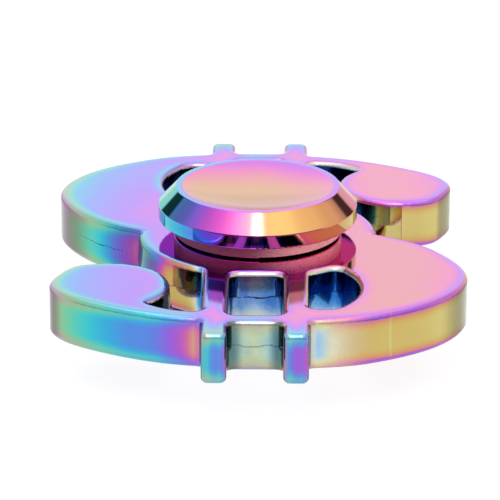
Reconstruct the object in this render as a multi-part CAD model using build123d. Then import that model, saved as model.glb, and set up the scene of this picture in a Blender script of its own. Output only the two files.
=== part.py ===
from build123d import *
import os
from math import cos, radians, sin, sqrt

# A dollar-sign fidget spinner: a cast plate turning on a small ball bearing between two
# screwed finger caps. Millimetres. The origin is the bearing's centre, +Z is the spin
# axis, and the two bars of the plate run along Y. Half a turn about Z gives the same
# plate, so its outline is drawn once and repeated.

# --- cast plate ---
PLATE_THICKNESS = 6.4
TOP = PLATE_THICKNESS / 2            # the two faces are at +TOP and -TOP
EDGE_ROUND = 0.7                     # rounding of the edges of both faces
DRAFT = 3.0                          # degrees that inside walls lean, from a mid-plane line
HUB_RADIUS = 15.0                    # disc of metal round the bearing
BAR_CENTRE = 4.86                    # from the spin axis to each bar's centre line
BAR_WIDTH = 3.05
BAR_INNER = BAR_CENTRE - BAR_WIDTH / 2
BAR_OUTER = BAR_CENTRE + BAR_WIDTH / 2
TAB_TIP = 35.4                       # both bars end in tabs, this far from the axis
TAB_GAP = 31.05                      # floor of the gap between two tabs
TAB_CORNER = 0.8
TAB_ROOT = 1.1

# free end of the S: a round blob, and the stroke that leads from it to the bars
BLOB = Vector(-17.85, -18.7)
BLOB_RADIUS = 7.3
BLOB_SIDE_ANGLE = 150.0              # on the blob: its outer side
POLISH_ANGLE = 96.0                  # on the blob: the buffed outer wall ends, cast wall starts
HOOK_ANGLE = -54.0                   # on the blob: the inner corner behind it
HOOK_ROUND = 0.95
OPEN_STROKE = [(-BAR_OUTER, -30.2), (-10.0, -29.6), (-15.0, -27.85), (-20.0, -25.15),
               (-24.2, -21.4), (-25.15, -18.5)]
STROKE_START = (-1.0, 0.1)           # the stroke's direction where it leaves the bars
STROKE_INSIDE = [(-10.0, -26.95), (-BAR_OUTER, -27.55)]

# closed half of the S, on the other side of the bars
LOBE_START = (-14.6, 0.1)            # inside the hub disc's edge, so that the two merge
LOBE_START_WAY = (-0.85, 0.53)       # the lobe's direction there
CLOSED_LOBE = [(-16.5, 1.2), (-20.0, 3.6), (-24.0, 8.8), (-25.8, 14.6), (-22.1, 23.4),
               (-15.0, 28.4), (-BAR_OUTER, 30.6)]
LOBE_END_WAY = (1.0, 0.1)            # and where it meets the bars
NOTCH_ANGLE = 179.0                  # on the hub disc: the cast wall of the channel ends here
NOTCH_ROUND = 1.1
CHANNEL_ANGLE = 212.0                # on the hub disc: the middle of that wall
MOUTH_REACH = Vector(-8.0, -3.0)     # how far the channel cutter runs out into the open

# windows between and beside the bars
WINDOW_ROUND = 1.3
SEAT_CHAMFER = 0.2                   # lead-in of the bearing's seat
CENTRE_WINDOW_NEAR = 14.55           # from the spin axis
CENTRE_WINDOW_FAR = 28.7
SIDE_WINDOW_END = -26.6
SIDE_WINDOW_ARC = Vector(2.2, -19.2)
SIDE_WINDOW_RADIUS = 10.4
SIDE_WINDOW_HUB = 15.6               # radius of its near side, round the spin axis
SIDE_WINDOW_PEAK = Vector(9.3, -12.5)  # its corner nearest to the lobe
SIDE_WINDOW_ROUND = 2.4

# --- ball bearing, inch size R188 ---
BEARING_OUTSIDE, BEARING_BORE, BEARING_WIDTH = 12.7, 6.35, 4.762
RING_FACE = BEARING_WIDTH / 2
RING_CHAMFER = 0.15
BALL_COUNT = 10
BALL_RADIUS = 1.588 / 2
PITCH_RADIUS = (BEARING_OUTSIDE + BEARING_BORE) / 4
GROOVE_RADIUS = 1.04 * BALL_RADIUS
INNER_LAND, OUTER_LAND = 4.22, 5.31
SEAT_RADIUS, SEAT_Z = 5.70, 1.86     # step in the outer ring that each shield lies on
SNAP_GROOVE_RADIUS = 5.88
SHEET = 0.2                          # thickness of the shields
SHIELD_BORE, SHIELD_STEP = 4.32, 5.1
SNAP_LOW, SNAP_HIGH = SEAT_Z + SHEET, SEAT_Z + SHEET + 0.24
SNAP_INNER, SNAP_OUTER = 5.45, 5.84
SNAP_GAP = 32.0                      # degrees missing from a snap ring
GROOVE_PLAY = 0.02
CAGE_INNER, CAGE_OUTER = 4.42, 5.10
CAGE_BACK, CAGE_FRONT = -1.2, 0.5
POCKET_PLAY = 0.045
FINGER_SLOT, FINGER_SLOT_DEPTH = 0.42, 0.6
SLOT_REACH = 2.0                     # across the cage's wall

# --- finger caps ---
CAP_GAP = 0.2                        # air between a cap and the plate
SHOULDER_RADIUS = 10.56
FLANGE_RADIUS = 12.5
FLANGE_LOW, FLANGE_HIGH = TOP + 2.11, TOP + 3.86
CAP_FACE = TOP + 6.24
RIM_RADIUS, RIM_INNER = 10.26, 9.5
DISH_DEPTH = 0.9
DISH_START_WAY = (-1.0, -0.3)        # the dish's slope at the rim
CAP_EDGE = 0.2
BOSS_RADIUS = 3.85                   # stands on the bearing's inner ring
SLEEVE_RADIUS = BEARING_BORE / 2 - 0.02
SLEEVE_TOP = 2.2
STUD_RADIUS, STUD_END = 1.95, -2.2
SOCKET_RADIUS, SOCKET_END = 1.98, -3.1
LEAD_IN = 0.25

SPARE = 1.0                          # how far a cutter runs past what it cuts
TINY = 1e-6                          # lengths this close are the same
ON_BASE = (Align.CENTER, Align.CENTER, Align.MIN)


def polar(radius, degrees, centre=Vector(0, 0)):
    return centre + Vector(radius * cos(radians(degrees)), radius * sin(radians(degrees)))


def turned(*profile):
    """Solid of revolution about Z from a closed profile of edges, X being the radius."""
    return revolve(Plane.XZ * make_face(profile), Axis.Z)


def turned_points(*points):
    return turned(Polyline(*points, close=True))


def half_turn(shape):
    return Rot(0, 0, 180) * shape


def flipped(shape):
    """The same piece turned over, for the underside of the spinner."""
    return Rot(180, 0, 0) * shape


# --- plate ---

def round_corner(face, corner, radius):
    """Round the corner of a flat face that lies nearest to a point."""
    return fillet(face.vertices().sort_by_distance(corner)[0], radius)


def round_uprights(solid, corners, radius):
    """Round the upright edges of a plate at each of some corners, and half a turn away."""
    uprights = solid.edges().filter_by(Axis.Z)
    chosen = []
    for corner in corners:
        for place in (Vector(*corner), -Vector(*corner)):
            chosen.append(uprights.sort_by_distance(place)[0])
    return fillet(chosen, radius)


def plate_outline():
    """The whole outer outline, with the mouths of the two channels closed off."""
    polish = polar(BLOB_RADIUS, POLISH_ANGLE, BLOB)
    blob_side = polar(BLOB_RADIUS, BLOB_SIDE_ANGLE, BLOB)
    blob_tangent = polar(1, POLISH_ANGLE - 90)
    half = [
        Polyline((0, -TAB_GAP), (-BAR_INNER, -TAB_GAP), (-BAR_INNER, -TAB_TIP),
                 (-BAR_OUTER, -TAB_TIP), OPEN_STROKE[0]),
        Spline(*OPEN_STROKE, blob_side, polish, tangents=[STROKE_START, blob_tangent]),
        Line(polish, LOBE_START),
        Spline(LOBE_START, *CLOSED_LOBE, tangents=[LOBE_START_WAY, LOBE_END_WAY]),
        Polyline(CLOSED_LOBE[-1], (-BAR_OUTER, TAB_TIP), (-BAR_INNER, TAB_TIP),
                 (-BAR_INNER, TAB_GAP), (0, TAB_GAP)),
    ]
    return make_face(half + [half_turn(edge) for edge in half])


def counter_outline():
    """The open hollow beside the bars, with the channel that leads out round the blob."""
    polish = polar(BLOB_RADIUS, POLISH_ANGLE, BLOB)
    hook = polar(BLOB_RADIUS, HOOK_ANGLE, BLOB)
    notch = polar(HUB_RADIUS, NOTCH_ANGLE)
    bar_meets_hub = Vector(-BAR_OUTER, -sqrt(HUB_RADIUS ** 2 - BAR_OUTER ** 2))
    reach = notch + MOUTH_REACH
    face = make_face([
        Line(STROKE_INSIDE[-1], bar_meets_hub),
        ThreePointArc(bar_meets_hub, polar(HUB_RADIUS, CHANNEL_ANGLE), notch),
        Polyline(notch, reach, (reach.X, polish.Y - MOUTH_REACH.Y), polish),
        ThreePointArc(polish, polar(BLOB_RADIUS, 0, BLOB), hook),
        ThreePointArc(hook, *STROKE_INSIDE),
    ])
    face = round_corner(face, hook, HOOK_ROUND)
    face = round_corner(face, bar_meets_hub, WINDOW_ROUND)
    return round_corner(face, STROKE_INSIDE[-1], WINDOW_ROUND)


def centre_window_outline():
    length = CENTRE_WINDOW_FAR - CENTRE_WINDOW_NEAR
    middle = -(CENTRE_WINDOW_FAR + CENTRE_WINDOW_NEAR) / 2
    return Pos(0, middle) * RectangleRounded(2 * BAR_INNER, length, WINDOW_ROUND)


def side_window_outline():
    """The closed window inside the lobe: part of a circle, cut by the hub and the bar."""
    strip = Pos(BAR_OUTER, SIDE_WINDOW_END) * Rectangle(HUB_RADIUS, HUB_RADIUS, align=Align.MIN)
    face = strip & Pos(SIDE_WINDOW_ARC) * Circle(SIDE_WINDOW_RADIUS)
    face = (face - Circle(SIDE_WINDOW_HUB)).faces().sort_by(Axis.Y)[0]
    far_end = face.vertices().group_by(Axis.Y)[0].sort_by(Axis.X)[-1]
    face = fillet(far_end, SIDE_WINDOW_ROUND)
    beside_bar = [(BAR_OUTER, SIDE_WINDOW_END), (BAR_OUTER, -SIDE_WINDOW_HUB)]
    for corner in [*beside_bar, SIDE_WINDOW_PEAK]:
        face = round_corner(face, corner, WINDOW_ROUND)
    return face


def drafted(outline):
    """Cutter through the plate that is narrowest at the plate's mid-plane."""
    upper = extrude(Plane.XY.offset(TOP) * outline, -TOP, taper=DRAFT)
    return [upper, mirror(upper, Plane.XY)]


def rims(plate):
    """Every edge that lies in one of the plate's two faces."""
    def in_a_face(edge):
        return all(abs(abs((edge @ t).Z) - TOP) < TINY for t in (0, 0.5, 1))
    return plate.edges().filter_by(in_a_face)


def spinner_body():
    plate = extrude(plate_outline(), TOP, both=True)
    for outline in (counter_outline(), centre_window_outline(), side_window_outline()):
        for cutter in drafted(outline):
            plate = plate - cutter - half_turn(cutter)
    tips = [(x, -TAB_TIP) for x in (-BAR_OUTER, -BAR_INNER, BAR_INNER, BAR_OUTER)]
    roots = [OPEN_STROKE[0], (-BAR_INNER, -TAB_GAP), (BAR_INNER, -TAB_GAP),
             -Vector(*CLOSED_LOBE[-1])]
    plate = round_uprights(plate, tips, TAB_CORNER)
    plate = round_uprights(plate, roots, TAB_ROOT)
    plate = fillet(rims(plate), EDGE_ROUND)
    plate = round_uprights(plate, [LOBE_START], NOTCH_ROUND)
    plate = plate - Cylinder(BEARING_OUTSIDE / 2, PLATE_THICKNESS)
    return chamfer(rims(plate), SEAT_CHAMFER)


# --- ball bearing ---

def race(low, high, chamfered):
    """A bearing ring between two radii, with the ball groove cut into it."""
    ring = turned_points((low, -RING_FACE), (high, -RING_FACE), (high, RING_FACE),
                         (low, RING_FACE))
    circles = ring.edges().filter_by(GeomType.CIRCLE)
    corners = circles.filter_by(lambda edge: abs(edge.radius - chamfered) < TINY)
    ring = chamfer(corners, RING_CHAMFER)
    return ring - Torus(PITCH_RADIUS, GROOVE_RADIUS)


def bearing_inner_ring():
    bore = BEARING_BORE / 2
    return race(bore, INNER_LAND, bore)


def bearing_outer_ring():
    outside = BEARING_OUTSIDE / 2
    ring = race(OUTER_LAND, outside, outside)
    seat = turned_points((OUTER_LAND - SPARE, SEAT_Z), (SEAT_RADIUS, SEAT_Z),
                         (SEAT_RADIUS, SNAP_LOW - GROOVE_PLAY),
                         (SNAP_GROOVE_RADIUS, SNAP_LOW - GROOVE_PLAY),
                         (SNAP_GROOVE_RADIUS, SNAP_HIGH + GROOVE_PLAY),
                         (SEAT_RADIUS, SNAP_HIGH + GROOVE_PLAY),
                         (SEAT_RADIUS, RING_FACE + SPARE), (OUTER_LAND - SPARE, RING_FACE + SPARE))
    return ring - seat - flipped(seat)


def ball_place(index):
    angle = 360 * index / BALL_COUNT
    return Pos(polar(PITCH_RADIUS, angle))


def bearing_ball(index):
    return ball_place(index) * Sphere(BALL_RADIUS)


def bearing_cage():
    """A crown of fingers that snap round the balls, on a solid back ring."""
    cage = turned_points((CAGE_INNER, CAGE_BACK), (CAGE_OUTER, CAGE_BACK),
                         (CAGE_OUTER, CAGE_FRONT), (CAGE_INNER, CAGE_FRONT))
    slot = Pos(PITCH_RADIUS, 0, CAGE_FRONT) * Box(SLOT_REACH, FINGER_SLOT, 2 * FINGER_SLOT_DEPTH)
    for index in range(BALL_COUNT):
        cage -= ball_place(index) * Sphere(BALL_RADIUS + POCKET_PLAY)
        cage -= Rot(0, 0, 360 * (index + 0.5) / BALL_COUNT) * slot
    return cage


def shield():
    """Pressed sheet washer: a flat seat, and a middle that stands a little proud of it."""
    seat = SEAT_RADIUS - GROOVE_PLAY
    return turned_points((SHIELD_BORE, SEAT_Z + SHEET), (SHIELD_STEP - SHEET, SEAT_Z + SHEET),
                         (SHIELD_STEP, SEAT_Z), (seat, SEAT_Z), (seat, SEAT_Z + SHEET),
                         (SHIELD_STEP + SHEET / 2, SEAT_Z + SHEET),
                         (SHIELD_STEP - SHEET / 2, SEAT_Z + 2 * SHEET),
                         (SHIELD_BORE, SEAT_Z + 2 * SHEET))


def snap_ring():
    """Open wire ring that springs into the groove over a shield."""
    ring = turned_points((SNAP_INNER, SNAP_LOW), (SNAP_OUTER, SNAP_LOW),
                         (SNAP_OUTER, SNAP_HIGH), (SNAP_INNER, SNAP_HIGH))
    wedge = make_face(Polyline((0, 0), polar(2 * SNAP_OUTER, -SNAP_GAP / 2),
                               polar(2 * SNAP_OUTER, SNAP_GAP / 2), close=True))
    return ring - extrude(wedge, SNAP_HIGH + SPARE)


# --- finger caps ---

def outer_corners(cap):
    """The corners of a turned cap that fingers or eyes meet, from the shoulder's foot to the rim."""
    def is_outer(edge):
        height = (edge @ 0).Z
        under_flange = abs(height - FLANGE_LOW) < TINY and edge.radius < SHOULDER_RADIUS + TINY
        return edge.radius > RIM_INNER and height > TOP and not under_flange
    return cap.edges().filter_by(GeomType.CIRCLE).filter_by(is_outer)


def cap_shell():
    """The turned cap without its fastener, for the upper side."""
    under = TOP + CAP_GAP
    dish = CAP_FACE - DISH_DEPTH
    cap = turned(
        Polyline((0, dish), (0, RING_FACE), (BOSS_RADIUS, RING_FACE), (BOSS_RADIUS, under),
                 (SHOULDER_RADIUS, under), (SHOULDER_RADIUS, FLANGE_LOW),
                 (FLANGE_RADIUS, FLANGE_LOW), (FLANGE_RADIUS, FLANGE_HIGH),
                 (RIM_RADIUS, CAP_FACE), (RIM_INNER, CAP_FACE)),
        Spline((RIM_INNER, CAP_FACE), (0, dish), tangents=[DISH_START_WAY, (-1, 0)]))
    return fillet(outer_corners(cap), CAP_EDGE)


def pin(radius, low, high):
    """Round pin on the spin axis."""
    return Pos(0, 0, low) * Cylinder(radius, high - low, align=ON_BASE)


def cap_top():
    """Carries the threaded stud that screws into the lower cap's sleeve."""
    stud = pin(STUD_RADIUS, STUD_END, RING_FACE)
    return cap_shell() + chamfer(stud.edges().group_by(Axis.Z)[0], LEAD_IN)


def cap_bottom():
    """Carries the threaded sleeve that centres the bearing's inner ring."""
    sleeve = pin(SLEEVE_RADIUS, -RING_FACE, SLEEVE_TOP)
    return flipped(cap_shell()) + sleeve - pin(SOCKET_RADIUS, SOCKET_END, SLEEVE_TOP)


def nodes():
    named = {
        "spinner_body": spinner_body(),
        "bearing_outer_ring": bearing_outer_ring(),
        "bearing_inner_ring": bearing_inner_ring(),
        "bearing_cage": bearing_cage(),
        "shield_upper": shield(),
        "shield_lower": flipped(shield()),
        "snap_ring_upper": snap_ring(),
        "snap_ring_lower": flipped(snap_ring()),
        "cap_top": cap_top(),
        "cap_bottom": cap_bottom(),
    }
    for index in range(BALL_COUNT):
        named[f"ball_{index + 1:02d}"] = bearing_ball(index)
    return named


os.makedirs("parts", exist_ok=True)
for name, solid in nodes().items():
    export_step(solid, f"parts/{name}.step")
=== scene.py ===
"""Looks of a dollar-sign fidget spinner: rainbow plating, bearing steel, a white floor, light and a camera.

Lengths in the formulas of the materials are millimetres. The frame and every object are in metres.
"""

import math
import random

import bpy
from mathutils import Matrix, Vector


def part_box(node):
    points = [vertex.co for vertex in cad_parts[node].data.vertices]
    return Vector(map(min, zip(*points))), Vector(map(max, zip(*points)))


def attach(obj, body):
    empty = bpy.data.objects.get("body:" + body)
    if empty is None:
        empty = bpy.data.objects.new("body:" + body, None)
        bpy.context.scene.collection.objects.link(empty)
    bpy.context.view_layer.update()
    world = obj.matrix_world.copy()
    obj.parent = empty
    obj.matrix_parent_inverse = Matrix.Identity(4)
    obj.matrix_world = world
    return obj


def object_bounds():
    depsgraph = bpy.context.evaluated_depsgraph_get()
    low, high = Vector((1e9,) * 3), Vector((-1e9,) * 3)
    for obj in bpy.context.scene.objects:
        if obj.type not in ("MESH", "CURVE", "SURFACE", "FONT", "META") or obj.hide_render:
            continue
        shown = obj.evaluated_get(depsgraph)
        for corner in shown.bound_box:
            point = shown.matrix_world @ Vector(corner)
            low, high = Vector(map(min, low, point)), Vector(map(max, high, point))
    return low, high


MM = 0.001

# ---- camera, from the viewing angle of a product shot ----
CAMERA_ELEVATION = math.radians(19.94)
CAMERA_AZIMUTH = math.radians(0.456)
CAMERA_ROLL = math.radians(0.16)
CAMERA_DISTANCE = 441.1 * MM
CAMERA_LENS = 251.3                   # mm of focal length, for a sensor this wide
SENSOR_WIDTH = 36.0
NEAR_CLIP = 0.01                      # metres
FAR_CLIP = 20.0
AIM_LEFT = math.radians(0.132)        # it looks this far to the left of its target, and below it
AIM_DOWN = math.radians(0.3065)

BACKDROP = 1.12                       # brightness of the surroundings that the level faces mirror
BACKDROP_FOOT = (3.0, 7.0)            # degrees above the horizon where they start
BACKDROP_TOP = (36.0, 46.0)           # and where they end
DEGREES = math.degrees(1.0)           # in a radian
CLOSENESS_RAYS = 8                    # that Surface.closeness sends out from each place

# ---- the plating's film: phase (thin to thick) and its colour on an upright mirror face ----
FILM = (
    (-0.60, (30, 40, 70)),
    (-0.45, (18, 62, 132)),
    (-0.30, (14, 92, 184)),
    (-0.18, (36, 126, 200)),
    (-0.08, (96, 158, 212)),
    (0.00, (147, 197, 232)),
    (0.06, (200, 220, 226)),
    (0.12, (216, 218, 190)),
    (0.22, (218, 208, 150)),
    (0.32, (203, 188, 118)),
    (0.38, (196, 172, 100)),
    (0.45, (206, 146, 92)),
    (0.51, (208, 112, 124)),
    (0.57, (198, 78, 176)),
    (0.65, (152, 88, 206)),
    (0.72, (118, 106, 216)),
    (0.78, (88, 128, 216)),
    (0.84, (58, 162, 212)),
    (0.90, (60, 190, 198)),
    (0.98, (104, 196, 160)),
    (1.08, (156, 176, 138)),
    (1.18, (172, 160, 160)),
    (1.30, (190, 140, 190)),
)
# the same film on the level faces, which were buffed less and look milky, as seen from the camera's height
MILKY_FILM = (
    (-0.30, (60, 70, 120)),
    (0.00, (190, 215, 235)),
    (0.15, (225, 222, 190)),
    (0.32, (226, 204, 156)),
    (0.42, (233, 194, 166)),
    (0.48, (240, 184, 186)),
    (0.53, (246, 172, 206)),
    (0.60, (232, 160, 238)),
    (0.68, (198, 167, 252)),
    (0.78, (170, 188, 254)),
    (0.86, (150, 210, 242)),
    (0.94, (150, 228, 226)),
    (1.02, (172, 228, 200)),
    (1.15, (200, 205, 190)),
    (1.30, (215, 190, 215)),
)


def srgb(red, green, blue):
    """A colour as it looks on a screen, 0 to 255, in the linear values that a shader takes."""
    linear = [((v / 255 + 0.055) / 1.055) ** 2.4 if v > 10 else v / 255 / 12.92 for v in (red, green, blue)]
    return (*linear, 1.0)


BLACK = srgb(0, 0, 0)


def under_sheen(red, green, blue):
    """The metal colour that looks like this on a level face, where the camera sees a sheen join it."""
    seen = srgb(red, green, blue)
    sheen = (1 - math.sin(CAMERA_ELEVATION)) ** 5
    return (*(max(v / BACKDROP - sheen, 0.0) / (1 - sheen) for v in seen[:3]), 1.0)


# ---- formulas that build shader nodes ----


class Field:
    """A socket of a node tree. Sums written with it add the nodes that work them out."""

    def __init__(self, tree, socket):
        self.tree = tree
        self.socket = socket

    def math(self, operation, *others):
        node = self.tree.nodes.new("ShaderNodeMath")
        node.operation = operation
        for place, item in enumerate((self, *others)):
            feed(item, node.inputs[place])
        return Field(self.tree, node.outputs[0])

    def __add__(self, other):
        return self.math("ADD", other)

    def __sub__(self, other):
        return self.math("SUBTRACT", other)

    def __rsub__(self, other):
        return -self + other

    def __mul__(self, other):
        return self.math("MULTIPLY", other)

    def __truediv__(self, other):
        return self.math("DIVIDE", other)

    def __abs__(self):
        return self.math("ABSOLUTE")

    def __neg__(self):
        return self.math("MULTIPLY", -1.0)


def feed(item, socket):
    """Links a Field into an input socket, or sets a plain value there."""
    if isinstance(item, Field):
        item.tree.links.new(item.socket, socket)
    elif isinstance(item, (int, float)) and hasattr(socket.default_value, "__len__"):
        socket.default_value = [item] * len(socket.default_value)
    else:
        socket.default_value = item


def ramp_between(field, low, high, start=0.0, end=1.0, soft=True):
    """start below low, end above high, and an even or smooth rise between."""
    node = field.tree.nodes.new("ShaderNodeMapRange")
    node.interpolation_type = "SMOOTHSTEP" if soft else "LINEAR"
    inputs = {"Value": field, "From Min": low, "From Max": high, "To Min": start, "To Max": end}
    for name, item in inputs.items():
        feed(item, node.inputs[name])
    return Field(field.tree, node.outputs["Result"])


def below(field, low, high):
    """1 below low, 0 above high, and a smooth fall between."""
    return ramp_between(-field, -high, -low)


def within(field, rise, fall):
    """1 between two spans of the field: up smoothly over the first, and down over the second."""
    return ramp_between(field, *rise) * below(field, *fall)


def curve(field, knots):
    """A smooth curve through (input, output) knots, flat beyond the ends."""
    first, last = knots[0][0], knots[-1][0]
    least = min(y for _, y in knots)
    most = max(y for _, y in knots)
    share = ramp_between(field, first, last, soft=False)
    node = field.tree.nodes.new("ShaderNodeFloatCurve")
    points = node.mapping.curves[0].points
    for index, (x, y) in enumerate(knots):
        at = ((x - first) / (last - first), (y - least) / (most - least))
        if index in (0, len(knots) - 1):
            points[0 if index == 0 else len(points) - 1].location = at
        else:
            points.new(*at)
    for point in points:
        point.handle_type = "AUTO_CLAMPED"
    node.mapping.update()
    feed(share, node.inputs["Value"])
    return Field(field.tree, node.outputs[0]) * (most - least) + least


def bell(field, width):
    """1 at 0, falling off smoothly on both sides."""
    ratio = field / width
    return (-(ratio * ratio)).math("EXPONENT")


def film_colour(phase, stops, seen=srgb):
    """The film's colour at a phase. seen turns a stop's screen colour into the metal's own colour."""
    low, high = stops[0][0], stops[-1][0]
    node = phase.tree.nodes.new("ShaderNodeValToRGB")
    elements = node.color_ramp.elements
    while len(elements) < len(stops):
        elements.new(0.5)
    for element, (at, colour) in zip(elements, stops):
        element.position = (at - low) / (high - low)
        element.color = seen(*colour)
    feed(ramp_between(phase, low, high, soft=False), node.inputs[0])
    return Field(phase.tree, node.outputs["Color"])


def mixed(share, first, second):
    """A colour that goes from first to second as share goes from 0 to 1."""
    tree = share.tree
    node = tree.nodes.new("ShaderNodeMix")
    node.data_type = "RGBA"
    feed(share, node.inputs[0])
    feed(first, node.inputs[6])
    feed(second, node.inputs[7])
    return Field(tree, node.outputs[2])


def blended(share, first, second):
    """A number that goes from first to second as share goes from 0 to 1."""
    node = share.tree.nodes.new("ShaderNodeMix")
    feed(share, node.inputs[0])
    feed(first, node.inputs[2])
    feed(second, node.inputs[3])
    return Field(share.tree, node.outputs[0])


class Surface:
    """A new metal material, with the position in millimetres and the normal as fields."""

    def __init__(self, name):
        self.material = bpy.data.materials.new(name)
        self.material.use_nodes = True
        self.tree = self.material.node_tree
        self.tree.nodes.clear()
        geometry = self.tree.nodes.new("ShaderNodeNewGeometry")
        place = self.tree.nodes.new("ShaderNodeTexCoord")
        self.place = self.scaled(Field(self.tree, place.outputs["Object"]), (1 / MM,) * 3)
        self.x, self.y, self.z = self.parts(self.place)
        normal = self.local(Field(self.tree, geometry.outputs["Normal"]))
        self.normal_x, self.normal_y, self.normal_z = self.parts(normal)
        self.radius = self.length(self.x, self.y)

    def local(self, vector):
        node = self.tree.nodes.new("ShaderNodeVectorTransform")
        node.vector_type = "NORMAL"
        node.convert_from = "WORLD"
        node.convert_to = "OBJECT"
        feed(vector, node.inputs[0])
        return Field(self.tree, node.outputs[0])

    def scaled(self, vector, by):
        node = self.tree.nodes.new("ShaderNodeVectorMath")
        node.operation = "MULTIPLY"
        feed(vector, node.inputs[0])
        feed(by, node.inputs[1])
        return Field(self.tree, node.outputs[0])

    def parts(self, vector):
        node = self.tree.nodes.new("ShaderNodeSeparateXYZ")
        feed(vector, node.inputs[0])
        return [Field(self.tree, output) for output in node.outputs]

    def vector(self, x, y, z):
        node = self.tree.nodes.new("ShaderNodeCombineXYZ")
        for socket, item in zip(node.inputs, (x, y, z)):
            feed(item, socket)
        return Field(self.tree, node.outputs[0])

    def length(self, x, y):
        return (x * x + y * y).math("SQRT")

    def noise(self, scale, detail, vector=None):
        """Even noise around 0, between about -0.5 and 0.5, with scale cells to a millimetre."""
        node = self.tree.nodes.new("ShaderNodeTexNoise")
        feed(vector or self.place, node.inputs["Vector"])
        feed(scale, node.inputs["Scale"])
        feed(detail, node.inputs["Detail"])
        return Field(self.tree, node.outputs["Fac"]) - 0.5

    def closeness(self, reach, inside):
        """The share of rays, into the metal or out of it, that meet this solid's surface within reach mm."""
        node = self.tree.nodes.new("ShaderNodeAmbientOcclusion")
        node.samples = CLOSENESS_RAYS
        node.inside = inside
        node.only_local = True
        feed(reach * MM, node.inputs["Distance"])
        return 1.0 - Field(self.tree, node.outputs["AO"])

    def finish(self, colour, roughness, height=None, depth=0.0, metallic=1.0):
        """Wires the metal: its colour, its roughness, and a relief of depth millimetres times height."""
        metal = self.tree.nodes.new("ShaderNodeBsdfPrincipled")
        feed(colour, metal.inputs["Base Color"])
        feed(roughness, metal.inputs["Roughness"])
        feed(metallic, metal.inputs["Metallic"])
        feed(0.0, metal.inputs["Specular IOR Level"])
        if height is not None:
            bump = self.tree.nodes.new("ShaderNodeBump")
            feed(height, bump.inputs["Height"])
            feed(depth * MM, bump.inputs["Distance"])
            self.tree.links.new(bump.outputs["Normal"], metal.inputs["Normal"])
        output = self.tree.nodes.new("ShaderNodeOutputMaterial")
        self.tree.links.new(metal.outputs["BSDF"], output.inputs["Surface"])
        return self.material


# ---- materials ----

EDGE_REACH = 2.0                      # mm: rays into the metal that come out again sooner show an edge
SHELTER_REACH = 9.0                   # mm: rays out of it that meet metal again sooner show a recess
CAP_EDGE_REACH = 0.9                  # mm: the caps have finer edges
PLATE_GRAIN = 0.003                   # mm, depth of the relief on the plate
TURNED_GRAIN = 0.006                  # mm, and of the turned lines on the caps' faces

BAR_CENTRE = 4.86                     # mm from the spin axis to the middle of each bar
GAP_SIDE = (3.2, 3.4)                 # mm from the spin axis to the bars' inner sides

# film phase across the plate, left to right: on its walls, on the left wall of each channel that leads out
# of the plate, and on its level faces
WALL_PHASE = (
    (-25.6, 1.26), (-24.9, 1.2), (-24.1, 1.08), (-22.4, 0.98), (-20.0, 0.90), (-17.5, 0.84), (-15.0, 0.79),
    (-12.5, 0.785), (-10.0, 0.715), (-8.5, 0.69), (-6.4, 0.665), (-3.3, 0.70), (3.3, 0.60), (6.4, 0.54),
    (8.5, 0.456), (10.0, 0.42), (12.5, 0.40), (15.0, 0.37), (20.0, 0.36), (22.0, 0.32), (23.5, 0.30),
    (24.9, 0.25), (25.5, 0.18),
)
CHANNEL_PHASE = (
    (-15.2, 0.95), (-14.3, 0.88), (-13.5, 0.76), (-12.4, 0.63), (-11.7, 0.52), (-11.1, 0.42), (-9.6, 0.36),
    (-8.6, 0.32), (-7.9, 0.22), (-7.4, 0.0), (-6.8, -0.2),
)
FACE_PHASE = (
    (-25.6, 0.93), (-24.0, 0.87), (-20.0, 0.76), (-15.0, 0.68), (-10.0, 0.645), (-4.86, 0.595), (0.0, 0.575),
    (4.86, 0.55), (8.0, 0.53), (12.0, 0.51), (16.0, 0.49), (20.0, 0.50), (23.0, 0.53), (25.6, 0.56),
)
THINNEST = -0.36                      # film phase in the plate's deepest corners


class Plate(Surface):
    """The plate's surface, with masks that are 1 at one kind of place and 0 elsewhere."""

    def __init__(self, name):
        super().__init__(name)
        tilt = abs(self.normal_z)
        self.level = ramp_between(tilt, 0.75, 0.98)
        self.rounding = within(tilt, (0.08, 0.2), (0.9, 0.97))
        self.edge = self.closeness(EDGE_REACH, inside=True)
        self.shelter = self.closeness(SHELTER_REACH, inside=False)
        self.cloud = self.noise(0.16, 1.0)
        self.on_tab = ramp_between(abs(self.y), 31.4, 34.0)
        self.in_gap = ramp_between(abs(self.y), 29.5, 30.5) * below(abs(self.x), *GAP_SIDE)
        self.on_blob = within(self.y, (5.0, 8.0), (17.0, 19.0)) * ramp_between(self.x, 12.0, 13.5)
        on_hub = below(self.radius, 15.4, 16.0)
        self.in_channel = on_hub * below(self.x, -6.7, -6.5) * below(self.y, -3.0, -1.0)
        self.by_notch = within(self.x, (-21.0, -16.0), (-15.0, -14.5))
        self.by_notch = self.by_notch * within(self.y, (-3.0, -1.0), (8.0, 12.0))


def starvation(s):
    """How much thinner the film is in sheltered places: most between the bars, least left and on a blob."""
    left = s.shelter * ramp_between(s.y, 10.0, 12.0, 0.6, 1.6) + s.shelter.math("POWER", 3.0) * 2.5
    middle = s.shelter * ramp_between(abs(s.y), 29.0, 30.0, 2.5, 2.2)
    right = s.shelter.math("POWER", 0.7) * (1.3 - s.on_blob * 1.1)
    beside = blended(ramp_between(s.x, -1.0, 1.0), left, right)
    return blended(ramp_between(abs(s.x), *GAP_SIDE), middle, beside)


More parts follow.
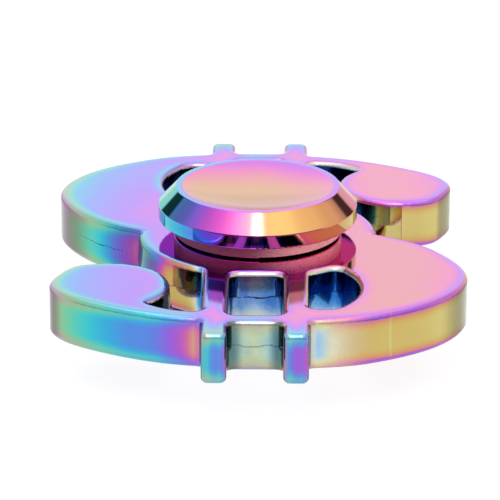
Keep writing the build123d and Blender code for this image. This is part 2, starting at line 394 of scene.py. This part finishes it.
def wall_phase(s, growth, starved):
    """The film on the walls: thick on the left, thin on the right, and thinnest deep in the openings, with
    painted shade on the upper half of the openings' walls.
    """
    across_tab = abs(s.x) - BAR_CENTRE
    tab = s.on_tab * (across_tab * ramp_between(s.x, -1.0, 1.0, 0.09, -0.05) + 0.03)
    streak = bell(s.x - 16.0 + s.cloud, 0.14) * below(s.y, -21.0, -20.0)
    deep = ramp_between(s.shelter, 0.22, 0.34) * below(abs(s.y), 29.0, 30.0) * (1.0 - s.on_blob)
    phase = curve(s.x, WALL_PHASE) + tab - starved - s.by_notch * 0.13 - streak * 0.06
    # deep in the openings the phase falls towards the top of the wall and rises towards its foot: painted
    # shade that darkens the upper half
    phase = (phase - deep * ramp_between(s.z, -1.6, 1.2, -0.08, 0.14)).math("MAXIMUM", THINNEST)
    phase = blended(s.in_channel, phase, curve(s.x, CHANNEL_PHASE)) + growth + s.cloud * 0.04
    return phase + s.rounding * ramp_between(s.x, 10.0, 15.0) * 0.17


def back_drift(s):
    """How the film on the level faces differs behind the spin axis from what it is in front."""
    right = ramp_between(s.x, 0.0, 8.0) * ramp_between(s.y, 0.0, 14.0) * 0.025
    left = below(s.x, -14.0, -10.0) * ramp_between(s.y, 6.0, 26.0, -0.03, 0.05)
    return (right + left) * ramp_between(s.y, 0.0, 6.0)


def face_phase(s, growth, starved):
    """The film on the level faces, which varies less than on the walls."""
    tip = s.on_tab * ramp_between(s.x, -6.0, 6.0, 0.12, 0.06)
    edges = growth * ramp_between(s.x, -6.0, 10.0, 1.5, 0.8)
    return curve(s.x, FACE_PHASE) + tip + back_drift(s) + edges - starved * 0.5 + s.cloud * 0.05


def wall_colour(s, phase):
    """The walls' colour, with painted shade where they turn sideways, by the notch and in the channel,
    greener between the tabs, and a darker teal towards the corners beside the bars.
    """
    turned_away = ramp_between(abs(s.normal_x), 0.72, 0.92)
    # painted shade: darker where the walls turn sideways, by the notch and in the channel
    painted_shade = (turned_away * 0.6).math("MAXIMUM", s.by_notch * 0.35 + s.in_channel * 0.12)
    wall = mixed(painted_shade, film_colour(phase, FILM), BLACK)
    wall = mixed(s.in_gap * 0.35, wall, srgb(120, 190, 150))
    # darker teal towards the corners beside the bars: partly the film's hue, partly painted shade in those
    # corners
    return mixed(s.in_gap * ramp_between(abs(s.x), 1.2, 2.7, 0.0, 0.65), wall, srgb(16, 60, 70))


def rainbow_plating():
    """The plate's film: thick on the left, thin on the right, thicker on edges and thinner in recesses."""
    s = Plate("rainbow_plating")
    growth = s.edge * 0.25 + s.edge * s.edge * 1.05
    starved = starvation(s)
    wall = wall_colour(s, wall_phase(s, growth, starved))
    face = film_colour(face_phase(s, growth, starved), MILKY_FILM, under_sheen)
    grain = s.noise(9.0, 3.0) * 0.6 + s.noise(1.1, 2.0) * 0.4
    wear = s.noise(2.2, 4.0)
    roughness = wear * 0.03 + 0.05 + s.shelter * 0.1 * (1.0 - s.level) + s.rounding * 0.18
    return s.finish(mixed(s.level, wall, face), roughness, grain, PLATE_GRAIN)


# painted reflection: brightness that the caps' sides are painted with, as if they mirrored dark and bright
# studio walls, by the direction that they mirror, in degrees: 0 is behind the part and 180 in front of it
PAINTED_MIRROR_TABLE = (
    (-180, 0.1), (-150, 0.1), (-140, 0.12), (-102, 0.36), (-94, 0.85), (-76, 0.71), (-65, 0.54), (-52, 0.45),
    (-48, 0.04), (-37, 0.04), (-33, 1.0), (33, 1.0), (38, 0.06), (46, 0.06), (50, 0.55), (55, 0.78),
    (65, 1.07), (76, 1.2), (94, 1.0), (102, 0.36), (140, 0.32), (150, 0.3), (180, 0.1),
)


def painted_mirror_light(s):
    """Painted reflection: how bright the surface is painted by the direction it mirrors towards the eye;
    this only dims what is low in the mirror.
    """
    look = s.tree.nodes.new("ShaderNodeTexCoord")
    x, y, z = s.parts(Field(s.tree, look.outputs["Reflection"]))
    turn = x.math("ARCTAN2", y) * DEGREES
    low = within(z.math("ARCSINE") * DEGREES, BACKDROP_FOOT, BACKDROP_TOP)
    return blended(low, 1.0, curve(turn, PAINTED_MIRROR_TABLE).math("MINIMUM", 1.0))


# film phase round a cap's cone and band, by the sine of the angle from the front
CONE_PHASE = (
    (-1.0, 0.95), (-0.93, 0.89), (-0.87, 0.80), (-0.79, 0.75), (-0.69, 0.70), (-0.59, 0.625), (-0.47, 0.585),
    (-0.34, 0.56), (-0.2, 0.535), (0.0, 0.49), (0.1, 0.465), (0.2, 0.42), (0.34, 0.415), (0.47, 0.43),
    (0.6, 0.44), (0.79, 0.455), (0.87, 0.47), (0.93, 0.49), (1.0, 0.52),
)
BAND_PHASE = (
    (-1.0, 0.90), (-0.87, 0.87), (-0.79, 0.85), (-0.69, 0.80), (-0.59, 0.76), (-0.47, 0.70), (-0.34, 0.61),
    (-0.2, 0.57), (0.0, 0.55), (0.2, 0.525), (0.34, 0.50), (0.47, 0.49), (0.59, 0.46), (0.7, 0.44),
    (0.79, 0.43), (0.87, 0.39), (1.0, 0.36),
)
UNDER_PHASE = 0.57                    # film phase under the flange
# film phase across the dish, and painted shade that darkens its front, from front to back
DISH_PHASE = (
    (-9.5, 0.45), (-5.0, 0.445), (-3.0, 0.42), (0.0, 0.415), (3.0, 0.45), (6.0, 0.51), (8.0, 0.57),
    (9.5, 0.61),
)
DISH_PAINTED_SHADE = ((-9.5, 0.24), (-3.0, 0.16), (1.0, 0.0), (9.5, 0.0))
# film phase along the flat rim, from left to right
RIM_PHASE = ((-12.5, 0.88), (-9.9, 0.84), (-7.0, 0.80), (0.0, 0.68), (7.0, 0.65), (12.5, 0.66))


def cap_side(s, outward, upright, edge, reflection_paint):
    """The cone and the band, with painted reflections of dark and bright studio walls in their colour."""
    side = s.x / s.radius
    phase = blended(upright, curve(side, CONE_PHASE), curve(side, BAND_PHASE)) + edge * 0.1
    phase = blended(below(outward, -0.9, -0.6), phase, UNDER_PHASE)
    # painted reflection: mixes the film towards black where the mirrored studio would be dark
    return mixed(1.0 - reflection_paint, film_colour(phase, FILM), BLACK)


def cap_shoulder(s):
    """The dull shoulder under the flange, with painted light that makes it paler on the right, and stained.
    """
    # painted light: the shoulder's colour grows paler towards the right
    metal = mixed(ramp_between(s.x, -2.0, 6.0), srgb(140, 84, 92), srgb(255, 210, 190))
    return mixed(ramp_between(s.noise(6.0, 3.0), -0.3, 0.0), srgb(90, 50, 60), metal)


def cap_face(s, rim, edge, lines):
    """The dish and the flat ring round it, with painted shade on the front of the dish."""
    ring = ramp_between(s.radius, rim * 0.75, rim * 0.78)
    dish = curve(s.y, DISH_PHASE) + ramp_between(s.x, 0.0, 8.0) * 0.06 + lines * 0.05
    dish = dish + abs(s.x) * ramp_between(s.y, 0.0, 5.0) * 0.005 + ramp_between(abs(s.x), 7.0, 9.4) * 0.05
    flat = curve(s.x, RIM_PHASE) + s.y * 0.008 + edge * 0.1
    face = film_colour(blended(ring, dish, flat), MILKY_FILM, under_sheen)
    # painted shade: the front of the dish is mixed towards black
    return mixed(curve(s.y, DISH_PAINTED_SHADE) * (1.0 - ring), face, BLACK)


def cap_plating():
    """The caps' film: it follows the direction on the cone and band, and goes across the dish."""
    s = Surface("cap_plating")
    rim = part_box("cap_top")[1].x / MM
    outward = s.normal_z * s.z.math("SIGN")
    upright = below(abs(s.normal_z), 0.2, 0.5)
    level = ramp_between(outward, 0.85, 0.95)
    shoulder = below(s.radius, rim * 0.85, rim * 0.87) * upright
    edge = s.closeness(CAP_EDGE_REACH, inside=True)
    lines = s.noise(5.0, 4.0, s.vector(s.radius, 0.0, 0.0))
    # painted reflection: a factor that darkens the cone and band where they would mirror dark studio walls
    reflection_paint = painted_mirror_light(s)
    side = mixed(shoulder, cap_side(s, outward, upright, edge, reflection_paint), cap_shoulder(s))
    colour = mixed(level, side, cap_face(s, rim, edge, lines))
    roughness = s.noise(3.0, 3.0) * 0.03 + 0.05 + level * 0.07 + shoulder * 0.35
    # where the painted reflection is dark the metal is made less metallic, so the painted dark stays dark
    metallic = ramp_between(reflection_paint, 0.0, 0.4) * (1.0 - shoulder * 0.5)
    return s.finish(colour, roughness, lines * level, TURNED_GRAIN, blended(level, metallic, 1.0))


STAINED = 0.62                        # how much of its brightness stained steel keeps


def steel(name, colour, roughness, lines, depth):
    """Plain steel with turned or ground lines round the spin axis, and faint stains."""
    s = Surface(name)
    ground = s.noise(lines, 4.0, s.vector(s.radius, s.z, 0.0))
    darker = (*(STAINED * v for v in colour[:3]), 1.0)
    shade = mixed(ramp_between(s.noise(0.8, 3.0), -0.25, 0.25), darker, colour)
    return s.finish(shade, ground * 0.1 + roughness, ground, depth)


def flash_metal():
    """The plating on the ragged flash: thin film on its paler torn edges, and near-black painted shade
    elsewhere along it.
    """
    s = Surface("parting_flash")
    torn = ramp_between(s.noise(3.0, 4.0), -0.1, 0.2)
    phase = curve(s.x, WALL_PHASE) * 0.3 - 0.3
    # painted shade: near-black where the flash is not torn
    colour = mixed(torn * 0.7, srgb(18, 16, 24), film_colour(phase, FILM))
    return s.finish(colour, s.noise(6.0, 3.0) * 0.2 + 0.35)


def dress(nodes):
    """Gives each CAD node the material of its slot."""
    made = {
        "rainbow_plating": rainbow_plating(),
        "cap_plating": cap_plating(),
        "bearing_steel": steel("bearing_steel", srgb(214, 214, 218), 0.16, 12.0, 0.002),
        "ball_steel": steel("ball_steel", srgb(226, 226, 230), 0.06, 3.0, 0.0004),
        "cage_steel": steel("cage_steel", srgb(186, 178, 160), 0.34, 20.0, 0.004),
        "shield_steel": steel("shield_steel", srgb(196, 196, 198), 0.26, 18.0, 0.003),
        "spring_steel": steel("spring_steel", srgb(122, 122, 128), 0.3, 10.0, 0.003),
    }
    for node in nodes.values():
        for place in node.material_slots:
            place.material = made[place.material.name.split(".")[0]]


# ---- casting flash along the plate's parting line ----

FLASH_STEP = math.radians(2.0)
FLASH_REACH = 14.0                    # mm from the middle of an opening to its wall, at most
FLASH_JUMP = 1.6                      # mm between neighbours, at most: the line stops at a wider gap
FLASH_ROOT = 0.07                     # mm, half its thickness where it grows out of the wall
FLASH_TIP = 0.3 * FLASH_ROOT
FLASH_SINK = 0.05                     # mm that it starts inside the wall
FLASH_LEAST = 0.02                    # mm that it stands proud at its lowest
FLASH_WANDER = 0.09                   # mm up or down between neighbours, at most
FLASH_CHANGE = 0.35                   # of its height, between neighbours, at most
FLASH_SEED = 7
# middle of each opening in mm, the angles between which its wall carries flash, and the flash's tallest
# point in mm. Half a turn gives the others
OPENINGS = (
    ((0.0, -21.6), 0, 360, 0.2),
    ((10.0, -20.0), 0, 360, 0.15),
    ((-10.0, -18.5), -60, 200, 0.15),
    ((0.0, -33.2), 20, 160, 0.06),
    ((-19.5, -5.0), 62, 112, 0.12),
)


def wall_points(plate, middle, start, end):
    """Where rays from the middle of an opening meet its wall at mid-height, as runs of (place, normal)."""
    runs = [[]]
    count = round(math.radians(end - start) / FLASH_STEP)
    for step in range(count + 1):
        angle = math.radians(start) + step * FLASH_STEP
        ray = Vector((math.cos(angle), math.sin(angle), 0))
        hit, place, normal, _ = plate.ray_cast(middle * MM, ray, distance=FLASH_REACH * MM)
        if not hit or (runs[-1] and (place - runs[-1][-1][0]).length > FLASH_JUMP * MM):
            runs.append([])
        if hit:
            runs[-1].append((place, Vector((normal.x, normal.y, 0)).normalized()))
    return [run for run in runs if len(run) > 3]


def flash_ribbon(run, tallest, dice):
    """Vertices and faces of a thin ragged ribbon that stands on the wall along one run of points."""
    vertices, faces = [], []
    lift, swell = 0.0, 0.3
    for place, normal in run:
        lift = 0.8 * lift + dice.uniform(-FLASH_WANDER, FLASH_WANDER)
        swell = min(max(swell + dice.uniform(-FLASH_CHANGE, FLASH_CHANGE), 0.0), 1.0)
        root = -normal * FLASH_SINK * MM
        tip = normal * (FLASH_LEAST + tallest * swell ** 2) * MM
        for base, half in ((root, FLASH_ROOT), (tip, FLASH_TIP), (tip, -FLASH_TIP), (root, -FLASH_ROOT)):
            vertices.append(place + base + Vector((0, 0, (lift + half) * MM)))
    for index in range(len(run) - 1):
        for side in range(4):
            near, far = 4 * index + side, 4 * index + (side + 1) % 4
            faces.append((near, far, far + 4, near + 4))
    last = 4 * (len(run) - 1)
    return vertices, faces + [(3, 2, 1, 0), (last, last + 1, last + 2, last + 3)]


def parting_flash(plate):
    """The ragged line of flash that the two halves of the mould left inside the plate's openings."""
    dice = random.Random(FLASH_SEED)
    vertices, faces = [], []
    for (x, y), start, end, tallest in OPENINGS:
        for turn in (0, 180):
            middle = Matrix.Rotation(math.radians(turn), 3, "Z") @ Vector((x, y, 0))
            for run in wall_points(plate, middle, start + turn, end + turn):
                more_vertices, more_faces = flash_ribbon(run, tallest, dice)
                faces += [tuple(len(vertices) + corner for corner in face) for face in more_faces]
                vertices += more_vertices
    mesh = bpy.data.meshes.new("parting_flash")
    mesh.from_pydata(vertices, [], faces)
    mesh.validate()
    flash = bpy.data.objects.new("parting_flash", mesh)
    bpy.context.scene.collection.objects.link(flash)
    mesh.materials.append(flash_metal())
    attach(flash, "spinner")


# ---- studio ----

FLOOR_SIDE = 6.0                      # metres
FLOOR_PALENESS = 0.15                 # the share of light that the floor sends back, beside its own glow
FLOOR_GLOW = 0.88
STRIP_WIDTH = 0.075
STRIP_LIGHT = 6.0
HORIZON_DIM = 0.5


def white_floor(height):
    """A large pale floor with a faint soft shadow."""
    bpy.ops.mesh.primitive_plane_add(size=FLOOR_SIDE, location=(0, 0, height))
    floor = bpy.context.object
    floor.name = "floor"
    material = bpy.data.materials.new("pale_floor")
    material.use_nodes = True
    tree = material.node_tree
    tree.nodes.clear()
    matt = tree.nodes.new("ShaderNodeBsdfDiffuse")
    matt.inputs["Color"].default_value = (FLOOR_PALENESS, FLOOR_PALENESS, FLOOR_PALENESS, 1)
    glow = tree.nodes.new("ShaderNodeEmission")
    glow.inputs["Strength"].default_value = FLOOR_GLOW
    both = tree.nodes.new("ShaderNodeAddShader")
    output = tree.nodes.new("ShaderNodeOutputMaterial")
    tree.links.new(matt.outputs[0], both.inputs[0])
    tree.links.new(glow.outputs[0], both.inputs[1])
    tree.links.new(both.outputs[0], output.inputs["Surface"])
    floor.data.materials.append(material)


# brightness of the sky by how far it lies to the side, the strip light's glow included
SKY = (
    (-1.0, 0.8), (-0.73, 0.95), (-0.57, 1.3), (-0.44, 1.7), (-0.27, 2.7), (-0.1, 3.2), (0.1, 2.3),
    (0.27, 1.9), (0.44, 1.75), (0.57, 1.5), (0.73, 1.35), (1.0, 1.3),
)


def studio_light():
    """White surroundings, with a strip light overhead and a dimmer band along the horizon in front."""
    world = bpy.data.worlds.new("studio")
    world.use_nodes = True
    tree = world.node_tree
    tree.nodes.clear()
    look = tree.nodes.new("ShaderNodeTexCoord")
    split = tree.nodes.new("ShaderNodeSeparateXYZ")
    tree.links.new(look.outputs["Generated"], split.inputs[0])
    x, y, z = [Field(tree, output) for output in split.outputs]
    height = z.math("ARCSINE") * DEGREES
    glow = ramp_between(height, *BACKDROP_TOP) * below(z, 0.95, 0.985) * below(y, 0.2, 0.4)
    bright = blended(glow, ramp_between(height, *BACKDROP_FOOT, 1.0, BACKDROP), curve(x, SKY))
    strip = bell(x, STRIP_WIDTH) * glow * below(y, -0.15, 0.0)
    horizon = below(height, 10.0, 13.0) * below(y, -0.3, -0.1)
    bright = (bright + strip * STRIP_LIGHT) * (1.0 - horizon * HORIZON_DIM)
    light = tree.nodes.new("ShaderNodeBackground")
    feed(srgb(255, 255, 255), light.inputs["Color"])
    feed(bright, light.inputs["Strength"])
    output = tree.nodes.new("ShaderNodeOutputWorld")
    tree.links.new(light.outputs[0], output.inputs["Surface"])
    bpy.context.scene.world = world


def camera(target):
    """The camera, at the viewing angle and distance of the product shot."""
    data = bpy.data.cameras.new("camera")
    data.lens = CAMERA_LENS
    data.sensor_width = SENSOR_WIDTH
    data.clip_start = NEAR_CLIP
    data.clip_end = FAR_CLIP
    eye = bpy.data.objects.new("camera", data)
    bpy.context.scene.collection.objects.link(eye)
    level = Vector((-math.sin(CAMERA_AZIMUTH), math.cos(CAMERA_AZIMUTH), 0))
    ahead = level * math.cos(CAMERA_ELEVATION) - Vector((0, 0, math.sin(CAMERA_ELEVATION)))
    turn = Matrix.Rotation(CAMERA_AZIMUTH + AIM_LEFT, 4, "Z")
    tilt = Matrix.Rotation(math.pi / 2 - CAMERA_ELEVATION - AIM_DOWN, 4, "X")
    roll = Matrix.Rotation(CAMERA_ROLL, 4, "Z")
    eye.matrix_world = Matrix.Translation(target - ahead * CAMERA_DISTANCE) @ turn @ tilt @ roll
    bpy.context.scene.camera = eye


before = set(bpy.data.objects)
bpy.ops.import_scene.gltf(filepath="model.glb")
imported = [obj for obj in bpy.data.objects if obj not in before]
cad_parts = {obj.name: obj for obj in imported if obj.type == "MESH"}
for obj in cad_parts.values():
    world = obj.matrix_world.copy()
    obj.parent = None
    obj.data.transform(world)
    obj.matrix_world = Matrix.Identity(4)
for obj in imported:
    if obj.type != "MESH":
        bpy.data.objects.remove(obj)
cad_low, cad_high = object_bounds()

dress(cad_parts)
parting_flash(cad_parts["spinner_body"])
white_floor(cad_low.z)
studio_light()
camera(Vector((0, 0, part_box("spinner_body")[1].z)))
bpy.context.scene.view_settings.view_transform = "Standard"
